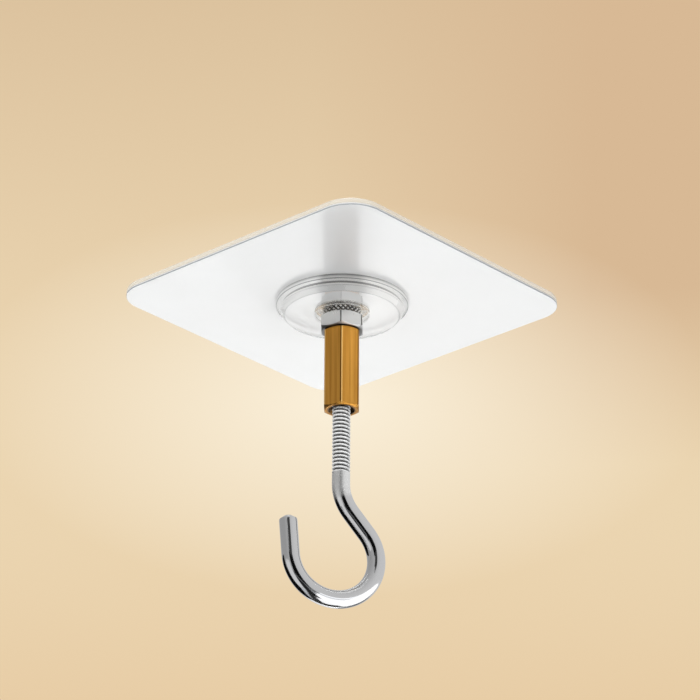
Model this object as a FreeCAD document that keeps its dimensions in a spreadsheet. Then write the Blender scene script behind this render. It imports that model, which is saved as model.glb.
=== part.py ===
import FreeCAD, Part

import math
import os

import Sketcher
from FreeCAD import Vector

# Sizes in millimetres, turns in degrees, and counts
SIZES = {
    # Square pad that sticks to the ceiling: clear adhesive under a white plate
    "pad_side": 76,
    "pad_corner_radius": 8,
    "adhesive_thickness": 1.2,
    "plate_thickness": 0.6,
    # Clear round base, moulded round the stud
    "flange_diameter": 31,
    "flange_height": 1.2,
    "rim_groove_diameter": 28,
    "rim_groove_width": 0.5,
    "disc_diameter": 28.8,
    "disc_edge_height": 0.7,
    "face_diameter": 27,
    "base_height": 3.5,
    "well_diameter": 12.6,
    "well_depth": 0.9,
    # Stud: a flat head and a knurled barrel held in the base, a shank and a thinner spigot
    "stud_head_diameter": 12.6,
    "stud_head_height": 0.9,
    "knurl_diameter": 9,
    "knurl_flutes": 24,
    "knurl_depth": 0.3,
    "barrel_proud": 0.6,
    "shank_diameter": 6,
    "thread_diameter": 4,
    "thread_chamfer": 0.5,
    # Thin lock nut on the shank, tight against the coupling nut
    "nut_across_flats": 9.6,
    "nut_height": 3.6,
    "nut_face_diameter": 9.2,
    "nut_countersink": 0.4,
    # Brass coupling nut, tapped right through
    "coupling_across_flats": 8,
    "coupling_length": 20,
    "coupling_face_diameter": 7.5,
    "coupling_countersink": 0.9,
    "thread_clearance": 0.05,
    # Screw hook, bent from one rod
    "rod_diameter": 4.2,
    "thread_engaged": 9,
    "thread_end_gap": 2,
    "thread_exposed": 16.2,
    "neck_length": 2.3,
    "neck_bend_radius": 10.6,
    "neck_bend_angle": 39.6,
    "slant_length": 6.1,
    "bowl_radius": 10.4,
    "bowl_angle": 214.8,
    "tip_length": 9.1,
    "tip_chamfer": 0.15,
    # Shared by both hexagons: the turned chamfer at their ends, and how they stand
    "hexagon_chamfer_angle": 30,
    "hexagon_heading": 41,
    "hook_heading": -27,
}

# Levels along the hook's axis, from the ceiling down
PLATE_TOP = "-(dims.adhesive_thickness)"
BASE_TOP = "-(dims.adhesive_thickness + dims.plate_thickness)"
NUT_TOP = f"{BASE_TOP} - dims.base_height - dims.barrel_proud"
COUPLING_TOP = f"{NUT_TOP} - dims.nut_height"
COUPLING_END = f"{COUPLING_TOP} - dims.coupling_length"

doc = FreeCAD.newDocument("ceiling_hook")
sheet = doc.addObject("Spreadsheet::Sheet", "dims")
for row, (alias, value) in enumerate(SIZES.items(), start=1):
    sheet.set(f"A{row}", alias)
    sheet.set(f"B{row}", str(value))
    sheet.setAlias(f"B{row}", alias)
doc.recompute()


def number(expression):
    """Value that an expression of the sheet's sizes has now."""
    value = doc.Objects[-1].evalExpression(expression)
    return float(getattr(value, "Value", value))


def new_body(label, level="0", heading=None):
    """Body on the hook's axis, at a level and a heading that the sheet gives."""
    body = doc.addObject("PartDesign::Body", label)
    body.Label = label
    body.setExpression("Placement.Base.z", level)
    if heading:
        body.Placement.Rotation = FreeCAD.Rotation(Vector(0, 0, 1), number(heading))
        body.setExpression("Placement.Rotation.Angle", heading)
    return body


def new_sketch(body, name, role, offset=None):
    """Sketch on one of the body's own origin planes, moved along that plane's normal."""
    sketch = body.newObject("Sketcher::SketchObject", name)
    plane = next(item for item in body.Origin.OriginFeatures if item.Role == role)
    sketch.AttachmentSupport = [(plane, "")]
    sketch.MapMode = "FlatFace"
    if offset:
        sketch.setExpression("AttachmentOffset.Base.z", offset)
    return sketch


def constrain(sketch, kind, *where, expression):
    """Dimension of a sketch, tied to an expression."""
    value = number(expression)
    if kind == "Angle":
        value = math.radians(value)
    index = sketch.addConstraint(Sketcher.Constraint(kind, *where, value))
    sketch.setExpression(f"Constraints[{index}]", expression)


def chain(sketch, corners):
    """Closed run of straight lines through the corners."""
    count = len(corners)
    for index, corner in enumerate(corners):
        following = corners[(index + 1) % count]
        sketch.addGeometry(Part.LineSegment(Vector(*corner), Vector(*following)))
    for index in range(count):
        sketch.addConstraint(Sketcher.Constraint("Coincident", index, 2, (index + 1) % count, 1))


def half_section(body, name, points):
    """Closed half section to be turned about the axis: each point is a radius and a depth."""
    sketch = new_sketch(body, name, "XZ_Plane")
    chain(sketch, [(number(radius), -number(depth)) for radius, depth in points])
    for index, (radius, depth) in enumerate(points):
        if radius == "0":
            sketch.addConstraint(Sketcher.Constraint("PointOnObject", index, 1, -2))
        else:
            constrain(sketch, "DistanceX", -1, 1, index, 1, expression=radius)
        if depth == "0":
            sketch.addConstraint(Sketcher.Constraint("PointOnObject", index, 1, -1))
        else:
            constrain(sketch, "DistanceY", index, 1, -1, 1, expression=depth)
    return sketch


def revolve(body, kind, sketch):
    """Full turn of a half section: kind is Revolution to add it or Groove to cut it away."""
    feature = body.newObject(f"PartDesign::{kind}", f"{sketch.Name}_turned")
    feature.Profile = sketch
    feature.ReferenceAxis = (sketch, ["V_Axis"])
    feature.Angle = 360
    sketch.Visibility = False
    doc.recompute()
    return feature


def extrude(body, kind, sketch, length, downwards=True):
    """Pad or Pocket of a sketch along the axis."""
    feature = body.newObject(f"PartDesign::{kind}", f"{sketch.Name}_{kind.lower()}")
    feature.Profile = sketch
    feature.Reversed = downwards if kind == "Pad" else not downwards
    feature.setExpression("Length", length)
    sketch.Visibility = False
    doc.recompute()
    return feature


def circle(body, name, diameter, offset=None):
    """Sketch of one circle about the axis."""
    sketch = new_sketch(body, name, "XY_Plane", offset)
    sketch.addGeometry(Part.Circle(Vector(), Vector(0, 0, 1), number(diameter) / 2))
    sketch.addConstraint(Sketcher.Constraint("Coincident", 0, 3, -1, 1))
    constrain(sketch, "Diameter", 0, expression=diameter)
    return sketch


def hexagon(body, name, across_flats):
    """Sketch of a regular hexagon about the axis, with a corner on the body's X axis."""
    sketch = new_sketch(body, name, "XY_Plane")
    reach = f"{across_flats} / 2 / cos(30 deg)"
    turns = [math.radians(60 * index) for index in range(6)]
    chain(sketch, [(number(reach) * math.cos(turn), number(reach) * math.sin(turn)) for turn in turns])
    ring = sketch.addGeometry(Part.Circle(Vector(), Vector(0, 0, 1), number(reach)), True)
    sketch.addConstraint(Sketcher.Constraint("Coincident", ring, 3, -1, 1))
    constrain(sketch, "Radius", ring, expression=reach)
    for index in range(6):
        sketch.addConstraint(Sketcher.Constraint("PointOnObject", index, 1, ring))
    for index in range(1, 6):
        sketch.addConstraint(Sketcher.Constraint("Equal", 0, index))
    sketch.addConstraint(Sketcher.Constraint("Horizontal", 1))
    return sketch


def end_chamfer(body, name, across_flats, face_diameter, depth, side):
    """Turned chamfer round a hexagon's end: side is 1 where the end faces down, -1 up."""
    inner = f"{face_diameter} / 2"
    outer = f"{across_flats} * 0.6"
    rise = f"({outer} - {inner}) * tan(dims.hexagon_chamfer_angle * 1 deg)"
    sign = "-" if side > 0 else "+"
    points = [(inner, depth), (outer, depth), (outer, f"{depth} {sign} {rise}")]
    if depth == "0":
        points[2] = (outer, rise)
    return revolve(body, "Groove", half_section(body, name, points))


def edges_where(shape, test):
    """Names of a shape's edges that pass a test."""
    return [f"Edge{index}" for index, edge in enumerate(shape.Edges, start=1) if test(edge)]


def dress(body, kind, name, base, edges, path, expression):
    """Fillet or Chamfer along named edges of the last feature."""
    feature = body.newObject(f"PartDesign::{kind}", name)
    feature.Base = (base, edges)
    feature.setExpression(path, expression)
    doc.recompute()
    return feature


def square_sheet(label, level, thickness):
    """Flat square with round corners, of which the ceiling pad has two."""
    body = new_body(label, level)
    sketch = new_sketch(body, f"{label}_outline", "XY_Plane")
    half = number("dims.pad_side") / 2
    chain(sketch, [(-half, -half), (half, -half), (half, half), (-half, half)])
    for index, kind in enumerate(("Horizontal", "Vertical", "Horizontal", "Vertical")):
        sketch.addConstraint(Sketcher.Constraint(kind, index))
    sketch.addConstraint(Sketcher.Constraint("Symmetric", 0, 1, 2, 1, -1, 1))
    for index, kind in ((0, "DistanceX"), (1, "DistanceY")):
        constrain(sketch, kind, index, 1, index, 2, expression="dims.pad_side")
    pad = extrude(body, "Pad", sketch, thickness)
    upright = edges_where(pad.Shape, lambda edge: abs(edge.tangentAt(edge.FirstParameter).z) > 0.9)
    dress(body, "Fillet", f"{label}_corners", pad, upright, "Radius", "dims.pad_corner_radius")
    return body


def captive_stud():
    """Turned steel stud. Its flat head and knurled barrel are held in the clear base,
    the shank carries the lock nut, and the spigot fills the coupling nut's upper part
    down to a gap above the hook."""
    head = "dims.stud_head_height"
    foot = "dims.base_height + dims.barrel_proud"
    shoulder = f"{foot} + dims.nut_height"
    spigot_length = "dims.coupling_length - dims.thread_engaged - dims.thread_end_gap"
    total = f"{shoulder} + {spigot_length}"
    barrel = "dims.knurl_diameter / 2"
    spigot = "dims.thread_diameter / 2"

    body = new_body("captive_stud", BASE_TOP)
    revolve(body, "Revolution", half_section(body, "stud_section", [
        ("0", "0"), ("dims.stud_head_diameter / 2", "0"), ("dims.stud_head_diameter / 2", head),
        (barrel, head), (barrel, foot), ("dims.shank_diameter / 2", foot),
        ("dims.shank_diameter / 2", shoulder), (spigot, shoulder),
        (spigot, f"{total} - dims.thread_chamfer"), (f"{spigot} - dims.thread_chamfer", total),
        ("0", total)]))

    flute = new_sketch(body, "flute", "XY_Plane", f"-{head}")
    root = f"{barrel} - dims.knurl_depth"
    mouth = f"{barrel} + dims.knurl_depth"
    flare = number("2 * dims.knurl_depth")
    chain(flute, [(number(root), 0), (number(mouth), -flare), (number(mouth), flare)])
    flute.addConstraint(Sketcher.Constraint("PointOnObject", 0, 1, -1))
    flute.addConstraint(Sketcher.Constraint("Symmetric", 1, 1, 2, 1, -1))
    constrain(flute, "DistanceX", -1, 1, 0, 1, expression=root)
    constrain(flute, "DistanceX", -1, 1, 1, 1, expression=mouth)
    constrain(flute, "DistanceY", 1, 1, 2, 1, expression="4 * dims.knurl_depth")
    cut = extrude(body, "Pocket", flute, f"{foot} - {head}")
    knurl = body.newObject("PartDesign::PolarPattern", "knurl")
    knurl.Originals = [cut]
    knurl.Axis = (flute, ["N_Axis"])
    knurl.Angle = 360
    knurl.setExpression("Occurrences", "dims.knurl_flutes")
    body.Tip = knurl
    doc.recompute()
    return body


def clear_base(stud):
    """Round base of two steps with a groove between them, moulded round the stud.
    A shallow well in its face leaves the end of the knurled barrel bare."""
    flange = "dims.flange_diameter / 2"
    groove = "dims.rim_groove_diameter / 2"
    disc = "dims.disc_diameter / 2"
    face = "dims.face_diameter / 2"
    step = "dims.flange_height"
    ledge = f"{step} + dims.rim_groove_width"
    edge = f"{ledge} + dims.disc_edge_height"
    base = "dims.base_height"
    well = "dims.well_diameter / 2"
    floor = f"{base} - dims.well_depth"

    blank = new_body("base_blank", BASE_TOP)
    revolve(blank, "Revolution", half_section(blank, "base_section", [
        ("0", "0"), (flange, "0"), (flange, step), (groove, step), (groove, ledge),
        (disc, ledge), (disc, edge), (face, base), (well, base), (well, floor), ("0", floor)]))
    moulding = doc.addObject("Part::Cut", "clear_base")
    moulding.Label = "clear_base"
    moulding.Base = blank
    moulding.Tool = stud
    doc.recompute()
    return moulding


def hexagon_nut(label, level, across, height, face, bore, countersink):
    """Nut cut from hexagon bar: both ends chamfered outside, and the bore at both mouths."""
    body = new_body(label, level, "dims.hexagon_heading")
    extrude(body, "Pad", hexagon(body, f"{label}_bar", across), height)
    end_chamfer(body, f"{label}_upper_end", across, face, "0", -1)
    end_chamfer(body, f"{label}_lower_end", across, face, height, 1)
    drilled = extrude(body, "Pocket", circle(body, f"{label}_bore", bore), height)
    radius = number(bore) / 2
    mouths = edges_where(drilled.Shape, lambda edge: is_circle(edge, radius))
    dress(body, "Chamfer", f"{label}_countersinks", drilled, mouths, "Size", countersink)
    return body


def is_circle(edge, radius):
    """Whether an edge is a full circle of this radius."""
    return isinstance(edge.Curve, Part.Circle) and abs(edge.Curve.Radius - radius) < 1e-6


def screw_hook():
    """Hook bent from one plated rod: a threaded shank, a neck that leans out,
    a round bowl that comes back under the axis, and a tip cut square."""
    exposed = "dims.thread_exposed"
    engaged = "dims.thread_engaged"

    body = new_body("screw_hook", COUPLING_END, "dims.hook_heading")
    path = new_sketch(body, "bend_line", "XZ_Plane")
    neck_bend = number("dims.neck_bend_radius")
    bowl = number("dims.bowl_radius")
    lean = math.radians(number("dims.neck_bend_angle"))
    back = math.radians(number("dims.neck_bend_angle - dims.bowl_angle"))
    start = Vector(0, -number(exposed))
    bend_start = start - Vector(0, number("dims.neck_length"))
    neck_centre = bend_start + Vector(neck_bend, 0)
    bend_end = neck_centre - Vector(math.cos(lean), math.sin(lean)) * neck_bend
    slant_end = bend_end + Vector(math.sin(lean), -math.cos(lean)) * number("dims.slant_length")
    bowl_centre = slant_end - Vector(math.cos(lean), math.sin(lean)) * bowl
    bowl_end = bowl_centre + Vector(math.cos(back), math.sin(back)) * bowl
    tip = bowl_end + Vector(math.sin(back), -math.cos(back)) * number("dims.tip_length")

    upright = Vector(0, 0, 1)
    neck_arc = Part.ArcOfCircle(Part.Circle(neck_centre, upright, neck_bend), math.pi, math.pi + lean)
    bowl_arc = Part.ArcOfCircle(Part.Circle(bowl_centre, upright, bowl), back, lean)
    path.addGeometry([
        Part.LineSegment(start, bend_start), neck_arc, Part.LineSegment(bend_end, slant_end),
        bowl_arc, Part.LineSegment(bowl_end, tip)])
    path.addConstraint([
        Sketcher.Constraint("PointOnObject", 0, 1, -2), Sketcher.Constraint("Vertical", 0),
        Sketcher.Constraint("Tangent", 0, 2, 1, 1), Sketcher.Constraint("Tangent", 1, 2, 2, 1),
        Sketcher.Constraint("Tangent", 2, 2, 3, 2), Sketcher.Constraint("Tangent", 3, 1, 4, 1)])
    constrain(path, "DistanceY", 0, 1, -1, 1, expression=exposed)
    constrain(path, "DistanceY", 0, 2, 0, 1, expression="dims.neck_length")
    constrain(path, "Radius", 1, expression="dims.neck_bend_radius")
    constrain(path, "Angle", 1, expression="dims.neck_bend_angle")
    constrain(path, "Distance", 2, expression="dims.slant_length")
    constrain(path, "Radius", 3, expression="dims.bowl_radius")
    constrain(path, "Angle", 3, expression="dims.bowl_angle")
    constrain(path, "Distance", 4, expression="dims.tip_length")
    doc.recompute()

    rod = body.newObject("PartDesign::AdditivePipe", "bent_rod")
    rod.Profile = circle(body, "rod_section", "dims.rod_diameter", f"-{exposed}")
    rod.Spine = (path, [])
    path.Visibility = False
    doc.recompute()

    thread = circle(body, "thread_section", "dims.thread_diameter", f"-{exposed}")
    shank = extrude(body, "Pad", thread, f"{exposed} + {engaged}", downwards=False)
    top = number(engaged)
    upper = edges_where(shank.Shape, lambda edge: abs(edge.CenterOfMass.z - top) < 1e-6)
    led_in = dress(body, "Chamfer", "lead_in", shank, upper, "Size", "dims.thread_chamfer")
    tip_place = Vector(tip.x, 0, tip.y)
    cut_end = edges_where(led_in.Shape, lambda edge: edge.CenterOfMass.distanceToPoint(tip_place) < 1e-3)
    dress(body, "Chamfer", "tip_edge", led_in, cut_end, "Size", "dims.tip_chamfer")
    return body


stud = captive_stud()
pieces = [
    square_sheet("adhesive_sheet", "0", "dims.adhesive_thickness"),
    square_sheet("mounting_plate", PLATE_TOP, "dims.plate_thickness"),
    clear_base(stud),
    stud,
    hexagon_nut(
        "lock_nut", NUT_TOP, "dims.nut_across_flats", "dims.nut_height", "dims.nut_face_diameter",
        "dims.shank_diameter + 2 * dims.thread_clearance", "dims.nut_countersink"),
    hexagon_nut(
        "coupling_nut", COUPLING_TOP, "dims.coupling_across_flats", "dims.coupling_length",
        "dims.coupling_face_diameter", "dims.thread_diameter + 2 * dims.thread_clearance",
        "dims.coupling_countersink"),
    screw_hook(),
]
doc.recompute()

for item in doc.Objects:
    if {"Invalid", "Error"} & set(item.State):
        raise RuntimeError(f"{item.Label} failed: {item.State}")
for piece in pieces:
    if piece.Shape.isNull() or not piece.Shape.isValid() or len(piece.Shape.Solids) != 1:
        raise RuntimeError(f"{piece.Label} is not one valid solid")

os.makedirs("parts", exist_ok=True)
for piece in pieces:
    piece.Shape.exportStep(f"parts/{piece.Label}.step")
    box = piece.Shape.BoundBox
    print(f"{piece.Label}: {piece.Shape.Volume:.1f} mm3, z {box.ZMin:.2f} to {box.ZMax:.2f}")
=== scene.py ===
import math

import bmesh
import bpy
import numpy as np
from mathutils import Matrix, Vector


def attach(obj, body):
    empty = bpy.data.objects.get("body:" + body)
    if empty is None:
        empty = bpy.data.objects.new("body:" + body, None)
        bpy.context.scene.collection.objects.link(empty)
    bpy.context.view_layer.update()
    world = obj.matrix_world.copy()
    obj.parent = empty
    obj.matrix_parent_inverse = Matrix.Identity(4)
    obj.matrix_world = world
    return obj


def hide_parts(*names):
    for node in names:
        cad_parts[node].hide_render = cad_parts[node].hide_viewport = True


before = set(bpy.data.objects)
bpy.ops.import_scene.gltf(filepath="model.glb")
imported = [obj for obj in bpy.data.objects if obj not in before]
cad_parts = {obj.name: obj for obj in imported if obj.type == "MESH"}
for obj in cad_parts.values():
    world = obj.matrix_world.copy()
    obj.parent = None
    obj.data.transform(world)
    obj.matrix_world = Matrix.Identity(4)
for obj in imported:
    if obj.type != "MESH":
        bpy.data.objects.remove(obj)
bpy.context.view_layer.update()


# The camera stands below and in front of the hook and looks up at the underside of the plate,
# whose near corner points at it. The place and the lens come from the edges seen in the picture.

mm = 0.001
view_heading = math.radians(42.32)
view_rise = math.radians(24.94)
view_roll = math.radians(0.32)
stand_off = 936.0 * mm
aim_right = -1.83 * mm
aim_up = 11.16 * mm
aim_height = -1.8 * mm
focal_pixels = 4000.0
picture_pixels = 700.0
sensor_width = 36.0
near_clip = 10.0 * mm
far_clip = 50.0

ahead = Vector((math.cos(view_heading) * math.cos(view_rise),
                math.sin(view_heading) * math.cos(view_rise),
                math.sin(view_rise)))
level_right = Vector((math.sin(view_heading), -math.cos(view_heading), 0.0))
level_up = level_right.cross(ahead)
camera_right = math.cos(view_roll) * level_right + math.sin(view_roll) * level_up
camera_up = math.cos(view_roll) * level_up - math.sin(view_roll) * level_right

camera = bpy.data.objects.new("camera", bpy.data.cameras.new("camera"))
camera.data.sensor_width = sensor_width
camera.data.lens = sensor_width * focal_pixels / picture_pixels
camera.data.dof.use_dof = False
camera.data.clip_start = near_clip
camera.data.clip_end = far_clip
camera_turn = Matrix((camera_right, camera_up, -ahead)).transposed()
camera_offset = -(aim_right * camera_right + aim_up * camera_up + stand_off * ahead)
camera_spot = camera_offset + Vector((0, 0, aim_height))
camera.matrix_world = Matrix.Translation(camera_spot) @ camera_turn.to_4x4()
bpy.context.scene.collection.objects.link(camera)
bpy.context.scene.camera = camera
bpy.context.scene.view_settings.view_transform = "Standard"


# The adhesive sheet is a square of clear acrylic gel tape, cast on film and die cut, that holds
# the plate to the ceiling. Its soft edge bulges a little where the tape is pressed. It ends a hair
# short of the plate, so that the two faces don't share a plane.

pad_side = 76.0 * mm
pad_corner = 8.0 * mm
corner_points = 17
cap_shares = np.array([0.15, 0.5, 0.8, 0.95])
weld_reach = 1e-5 * mm
adhesive_thickness = 1.2 * mm
adhesive_gap = 0.01 * mm
adhesive_top = 0.0
adhesive_under = adhesive_top - adhesive_thickness + adhesive_gap
adhesive_edge_rows = 9
adhesive_pull_in = 0.25 * mm
adhesive_bubble = 3.0 * mm
adhesive_ripple = 9.0 * mm
adhesive_tint = "#F4F6F2"


def surface(name, points, poles=(), loop=False, crease=35.0, marks=None):
    """A piece from a grid of points, rows by columns, closed round its columns. The first and last
    row end in a pole each, or join each other where loop is set. Edges over the crease, in degrees,
    stay sharp, and marks are named grids of numbers that the material reads."""
    rows, columns = points.shape[:2]
    spot = np.arange(rows * columns).reshape(rows, columns)
    if loop:
        spot = np.vstack([spot, spot[:1]])
    after = np.roll(spot, -1, axis=1)
    faces = np.stack([spot[:-1], after[:-1], after[1:], spot[1:]], axis=-1).reshape(-1, 4).tolist()
    vertices = points.reshape(-1, 3).tolist()
    for end, pole in zip((0, -1), poles):
        faces += [(a, b, len(vertices)) for a, b in zip(spot[end], after[end])]
        vertices.append(tuple(pole))
    mesh = bpy.data.meshes.new(name)
    mesh.from_pydata(vertices, [], faces)
    for mark, grid in (marks or {}).items():
        values = np.concatenate([grid.ravel(), np.take(grid[:, 0], (0, -1))[:len(poles)]])
        mesh.attributes.new(mark, "FLOAT", "POINT").data.foreach_set("value", values.astype(np.float32))
    welded = bmesh.new()
    welded.from_mesh(mesh)
    bmesh.ops.remove_doubles(welded, verts=welded.verts, dist=weld_reach)
    bmesh.ops.recalc_face_normals(welded, faces=welded.faces)
    welded.to_mesh(mesh)
    welded.free()
    mesh.polygons.foreach_set("use_smooth", np.ones(len(mesh.polygons), bool))
    mesh.set_sharp_from_angle(angle=math.radians(crease))
    piece = bpy.data.objects.new(name, mesh)
    bpy.context.scene.collection.objects.link(piece)
    return piece


def rounded_square(side, corner, insets):
    """Points of a square with round corners, once for each inset. A point is its corner's centre
    plus the corner's radius less the inset, at even angles through each of the four corners."""
    quarters = np.arange(0, 360, 90)
    bend = np.radians((quarters[:, None] + np.linspace(0, 90, corner_points)).ravel())
    diagonal = np.radians(np.repeat(quarters + 45, corner_points))
    centre = (side / 2 - corner) * np.sign(np.stack([np.cos(diagonal), np.sin(diagonal)], axis=-1))
    outward = np.stack([np.cos(bend), np.sin(bend)], axis=-1)
    return centre[None] + (corner - np.asarray(insets)[:, None, None]) * outward[None]


def sheet_points(side, corner, insets, heights):
    """The rounded outline once for each inset and height, then its caps as smaller copies of the
    first and last outline, drawn in towards the middle by the cap shares at the same height."""
    outline = rounded_square(side, corner, insets)
    level = np.repeat(np.asarray(heights)[:, None, None], outline.shape[1], axis=1)
    rows = np.concatenate([outline, level], axis=-1)
    shrink = cap_shares[:, None, None] * np.array([1, 1, 0]) + np.array([0, 0, 1])
    return np.concatenate([rows[:1] * shrink, rows, rows[-1:] * shrink[::-1]])


def linear(colour):
    """An sRGB hex colour as the linear one that a shader takes: a low part over 12.92, and a
    higher one plus 0.055, over 1.055, to the power 2.4."""
    part = np.array([int(colour[k:k + 2], 16) for k in (1, 3, 5)]) / 255
    return (*np.where(part <= 0.04045, part / 12.92, ((part + 0.055) / 1.055) ** 2.4), 1.0)


def add(tree, kind, inputs=None, **settings):
    """Adds a node, with its settings, and its inputs as values or as sockets to link from."""
    node = tree.nodes.new(kind)
    for name, value in settings.items():
        setattr(node, name, value)
    for name, value in (inputs or {}).items():
        if isinstance(value, bpy.types.NodeSocket):
            tree.links.new(value, node.inputs[name])
        else:
            node.inputs[name].default_value = value
    return node


def finish_named(name):
    """An empty material, its node tree and its output."""
    made = bpy.data.materials.new(name)
    made.use_nodes = True
    made.node_tree.nodes.clear()
    return made, made.node_tree, add(made.node_tree, "ShaderNodeOutputMaterial")


# The side of the tape is a parabola, furthest out half way down.
down_edge = np.linspace(-1, 1, adhesive_edge_rows)
adhesive_middle = (adhesive_top + adhesive_under) / 2
adhesive_half = (adhesive_top - adhesive_under) / 2
adhesive_points = sheet_points(pad_side, pad_corner, adhesive_pull_in * down_edge ** 2,
                               adhesive_middle - adhesive_half * down_edge)
adhesive_sheet = surface("adhesive_sheet_gel", adhesive_points,
                         poles=((0, 0, adhesive_top), (0, 0, adhesive_under)))

# Clear acrylic gel tape: glassy and faintly milky, with small trapped bubbles and a rippled skin.
clear_adhesive, tree, output = finish_named("clear acrylic gel tape")
place = add(tree, "ShaderNodeTexCoord").outputs["Object"]
bubbles = add(tree, "ShaderNodeTexVoronoi", {"Vector": place, "Scale": 1 / adhesive_bubble})
bubble_spot = add(tree, "ShaderNodeMapRange", {"Value": bubbles.outputs["Distance"], "From Min": 0.05,
                                              "From Max": 0.16, "To Min": 1.0, "To Max": 0.0})
ripple = add(tree, "ShaderNodeTexNoise", {"Vector": place, "Scale": 1 / adhesive_ripple, "Detail": 3.0})
relief = add(tree, "ShaderNodeMath", {0: ripple.outputs["Fac"], 1: bubble_spot.outputs["Result"]},
             operation="ADD")
bump = add(tree, "ShaderNodeBump", {"Height": relief.outputs[0], "Strength": 0.35, "Distance": 0.25 * mm})
haze = add(tree, "ShaderNodeMapRange", {"Value": ripple.outputs["Fac"], "To Min": 0.06, "To Max": 0.20})
skin = add(tree, "ShaderNodeBsdfPrincipled", {"Base Color": linear(adhesive_tint), "IOR": 1.47,
                                             "Alpha": 0.32, "Roughness": haze.outputs["Result"],
                                             "Normal": bump.outputs[0]})
tree.links.new(skin.outputs[0], output.inputs["Surface"])
adhesive_sheet.data.materials.append(clear_adhesive)

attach(adhesive_sheet, "base")
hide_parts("adhesive_sheet")


# The mounting plate is a thin square of white plastic sheet, pressed out of calendered stock, with
# round corners. The clear base is fixed in its middle.

plate_thickness = 0.6 * mm
plate_top = -adhesive_thickness
plate_under = plate_top - plate_thickness
plate_edge_round = 0.12 * mm
plate_roll_rows = 5
plate_grain = 0.7 * mm
plate_cloud = 14.0 * mm
plate_white = "#F5F4F2"
plate_white_aged = "#F0EFEC"
plate_edge_shade = "#9C9FA2"
upper_edge_shade_share = 0.5

# The edge is an upper roll, a short wall of two rows and a lower roll, each roll a quarter circle.
roll_over = np.radians(np.linspace(0, 90, plate_roll_rows))
plate_middle = (plate_top + plate_under) / 2
plate_wall = [plate_middle, plate_middle - plate_edge_round / 4]
plate_inset = plate_edge_round * np.concatenate([1 - np.sin(roll_over), [0, 0], 1 - np.cos(roll_over)])
plate_height = np.concatenate([plate_top - plate_edge_round * (1 - np.cos(roll_over)), plate_wall,
                               plate_under + plate_edge_round * (1 - np.sin(roll_over))])
plate_points = sheet_points(pad_side, pad_corner, plate_inset, plate_height)

# Painted shade greys the thin edge from the lower row of the wall to the middle row of the lower roll, and
# half as much from there up over the upper roll.
upper_roll_row = len(cap_shares)
wall_row = upper_roll_row + plate_roll_rows
lower_roll_row = wall_row + len(plate_wall)
edge_shade = np.zeros(plate_points.shape[:2])
edge_shade[upper_roll_row + 1:wall_row + 1] = upper_edge_shade_share
edge_shade[wall_row + 1:lower_roll_row + plate_roll_rows // 2 + 1] = 1
mounting_plate = surface("mounting_plate_sheet", plate_points,
                         poles=((0, 0, plate_top), (0, 0, plate_under)), marks={"edge_shade": edge_shade})

# White plastic sheet, calendered: an even satin white with a fine grain and faint clouding. The
# real grain is finer than the picture shows, so it is drawn coarser.
white_plate, tree, output = finish_named("calendered white plastic sheet")
place = add(tree, "ShaderNodeTexCoord").outputs["Object"]
cloud = add(tree, "ShaderNodeTexNoise", {"Vector": place, "Scale": 1 / plate_cloud, "Detail": 4.0})
grain = add(tree, "ShaderNodeTexNoise", {"Vector": place, "Scale": 1 / plate_grain, "Detail": 2.0})
shade = add(tree, "ShaderNodeMix", {"Factor": cloud.outputs["Fac"], "A": linear(plate_white),
                                   "B": linear(plate_white_aged)}, data_type="RGBA")
# Painted shade: the plate's thin edge is greyed, as it stands in shade.
shaded_edge = add(tree, "ShaderNodeAttribute", attribute_name="edge_shade").outputs["Fac"]
shade = add(tree, "ShaderNodeMix", {"Factor": shaded_edge, "A": shade.outputs["Result"],
                                   "B": linear(plate_edge_shade)}, data_type="RGBA")
satin = add(tree, "ShaderNodeMapRange", {"Value": cloud.outputs["Fac"], "To Min": 0.30, "To Max": 0.42})
bump = add(tree, "ShaderNodeBump", {"Height": grain.outputs["Fac"], "Strength": 0.12, "Distance": 0.05 * mm})
skin = add(tree, "ShaderNodeBsdfPrincipled", {"Base Color": shade.outputs["Result"], "IOR": 1.5,
                                             "Roughness": satin.outputs["Result"],
                                             "Normal": bump.outputs[0]})
tree.links.new(skin.outputs[0], output.inputs["Surface"])
mounting_plate.data.materials.append(white_plate)

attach(mounting_plate, "base")
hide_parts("mounting_plate")


# The captive stud is turned from steel bar and nickel plated: a flat head and a knurled barrel
# that the clear base is moulded round, then a plain shank and a thin spigot inside the nuts.

stud_top = plate_under
stud_head_radius = 6.3 * mm
stud_head_height = 0.9 * mm
stud_head_under = stud_top - stud_head_height
stud_head_chamfer = 0.1 * mm
stud_pole_ring = 1.5 * mm
knurl_radius = 4.5 * mm
knurl_depth = 0.3 * mm
knurl_teeth = 24
knurl_pitch = 1.15 * mm
knurl_power = 1.5
columns_in_tooth = 12
barrel_rows = 28
barrel_length = 3.2 * mm
barrel_end = stud_head_under - barrel_length
barrel_neck = 0.05 * mm
barrel_chamfer_across = 0.35 * mm
barrel_chamfer_down = 0.08 * mm
shank_radius = 3.0 * mm
shank_length = 3.6 * mm
shank_end = barrel_end - shank_length
spigot_radius = 2.0 * mm
spigot_length = 9.0 * mm
spigot_end = shank_end - spigot_length
spigot_chamfer = 0.5 * mm
stud_ring = 0.9425 * mm
wave_radians = 20
stud_pit = 0.5 * mm
stud_nickel = "#D8D7D4"
knurl_groove_shade = "#3A3937"


def knurled(radius, height, angle):
    """Radius of a diamond knurl: the plain radius less the depth times a share. Two cosines run
    once round each tooth and climb opposite ways by a pitch, and the share is half of one plus the
    larger of them, to the knurl's power."""
    climb = height / knurl_pitch * 2 * np.pi
    deeper = np.maximum(np.cos(knurl_teeth * angle + climb), np.cos(knurl_teeth * angle - climb))
    return radius - knurl_depth * (0.5 + 0.5 * deeper) ** knurl_power


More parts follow.
